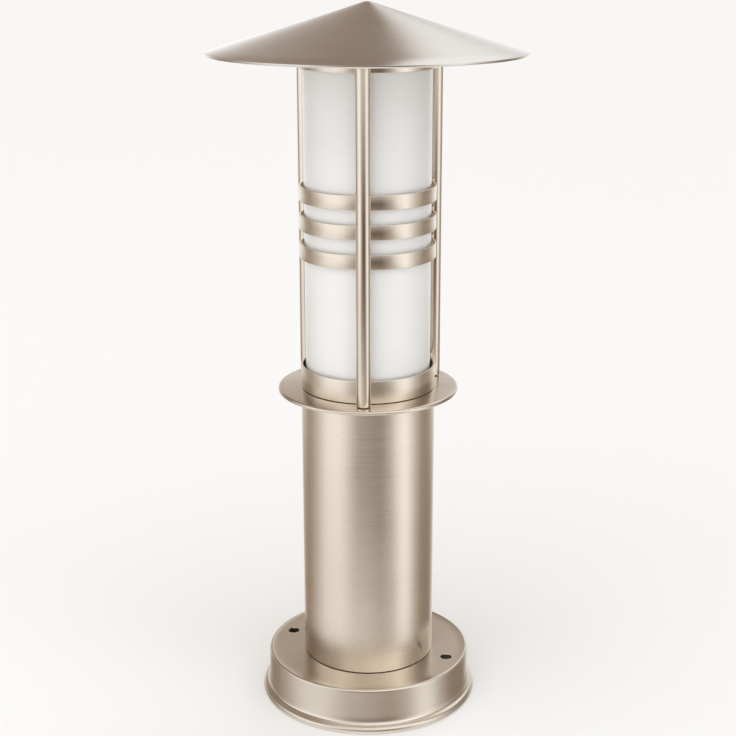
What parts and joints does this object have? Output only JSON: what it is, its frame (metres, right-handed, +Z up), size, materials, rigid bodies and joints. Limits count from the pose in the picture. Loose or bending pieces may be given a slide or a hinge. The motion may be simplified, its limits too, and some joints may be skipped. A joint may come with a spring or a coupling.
{
  "type": "bollard light",
  "caption": "Brushed steel bollard light: round post on a spun base, opal cylinder in a rod cage with bands under a conical roof. The head lifts off and the bulb unscrews.",
  "frame": {"origin": "Centre of the base cup underside, on the ground plane.", "axes": "+Z runs up the post axis to the roof. -Y is the side with a rod at its middle. +X is to the right of that side."},
  "size_m": [0.1748, 0.1748, 0.4018],
  "materials": {
    "brushed_steel": "brushed, warm satin",
    "zinc_plated_steel": "zinc plated",
    "screw_steel": "stainless, turned",
    "opal_acrylic": "opal white, glossy",
    "black_rubber": "moulded, matt",
    "porcelain": "glazed",
    "brass": "plain",
    "nickel_plate": "nickel plated",
    "bulb_glass": "opal, glossy",
    "insulator_glass": "black, glossy",
    "terminal_plastic": "moulded",
    "lead_brown": "smooth PVC",
    "lead_blue": "smooth PVC",
    "lead_green_yellow": "smooth PVC, striped"
  },
  "bodies": {
    "pedestal": {"base_cup": "brushed_steel", "bracket_screw_1": "screw_steel", "bracket_screw_2": "screw_steel", "cable_grommet": "black_rubber", "earth_screw": "screw_steel", "earth_tag": "brass", "foot_flange": "zinc_plated_steel", "foot_screw_1": "screw_steel", "foot_screw_2": "screw_steel", "foot_screw_3": "screw_steel", "head_flange": "zinc_plated_steel", "holder_bracket": "zinc_plated_steel", "holder_contact": "brass", "holder_screw_1": "screw_steel", "holder_screw_2": "screw_steel", "holder_shell": "nickel_plate", "lamp_holder": "porcelain", "lead_earth": "lead_green_yellow", "lead_live": "lead_brown", "lead_neutral": "lead_blue", "ledge_disc": "brushed_steel", "post_tube": "brushed_steel", "rod_foot_screw_1": "screw_steel", "rod_foot_screw_2": "screw_steel", "rod_foot_screw_3": "screw_steel", "seat_gasket": "black_rubber", "terminal_block": "terminal_plastic", "terminal_clamp_screw_1": "screw_steel", "terminal_clamp_screw_2": "screw_steel", "terminal_clamp_screw_3": "screw_steel", "terminal_clamp_screw_4": "screw_steel", "terminal_clamp_screw_5": "screw_steel", "terminal_clamp_screw_6": "screw_steel", "terminal_fixing_screw": "screw_steel", "terminal_way_earth": "brass", "terminal_way_live": "brass", "terminal_way_neutral": "brass"},
    "head": {"roof_cone": "brushed_steel", "roof_plate": "brushed_steel", "roof_stud": "zinc_plated_steel", "roof_nut": "screw_steel", "top_collar": "brushed_steel", "top_gasket": "black_rubber", "lower_collar": "brushed_steel", "band_upper": "brushed_steel", "band_middle": "brushed_steel", "band_lower": "brushed_steel", "rod_1": "brushed_steel", "rod_2": "brushed_steel", "rod_3": "brushed_steel", "rod_top_screw_1": "screw_steel", "rod_top_screw_2": "screw_steel", "rod_top_screw_3": "screw_steel", "diffuser": "opal_acrylic"},
    "bulb_rise": {"bulb_contact": "nickel_plate"},
    "bulb": {"bulb_cap": "nickel_plate", "bulb_insulator": "insulator_glass", "bulb_globe": "bulb_glass"}
  },
  "joints": [
    {"name": "head_lift", "type": "slide", "parent": "pedestal", "child": "head", "axis": [0, 0, 1], "range_m": [0, 0.2]},
    {"name": "bulb_rise", "type": "slide", "parent": "pedestal", "child": "bulb_rise", "axis": [0, 0, 1], "range_m": [0, 0.0164]},
    {"name": "bulb_turn", "type": "hinge", "parent": "bulb_rise", "child": "bulb", "pos_m": [0, 0, 0.23], "axis": [0, 0, 1], "range_deg": [0, 1620]}
  ],
  "couplings": [
    {"joint": "bulb_rise", "follows": "bulb_turn", "m_per_rad": 0.00057757}
  ]
}
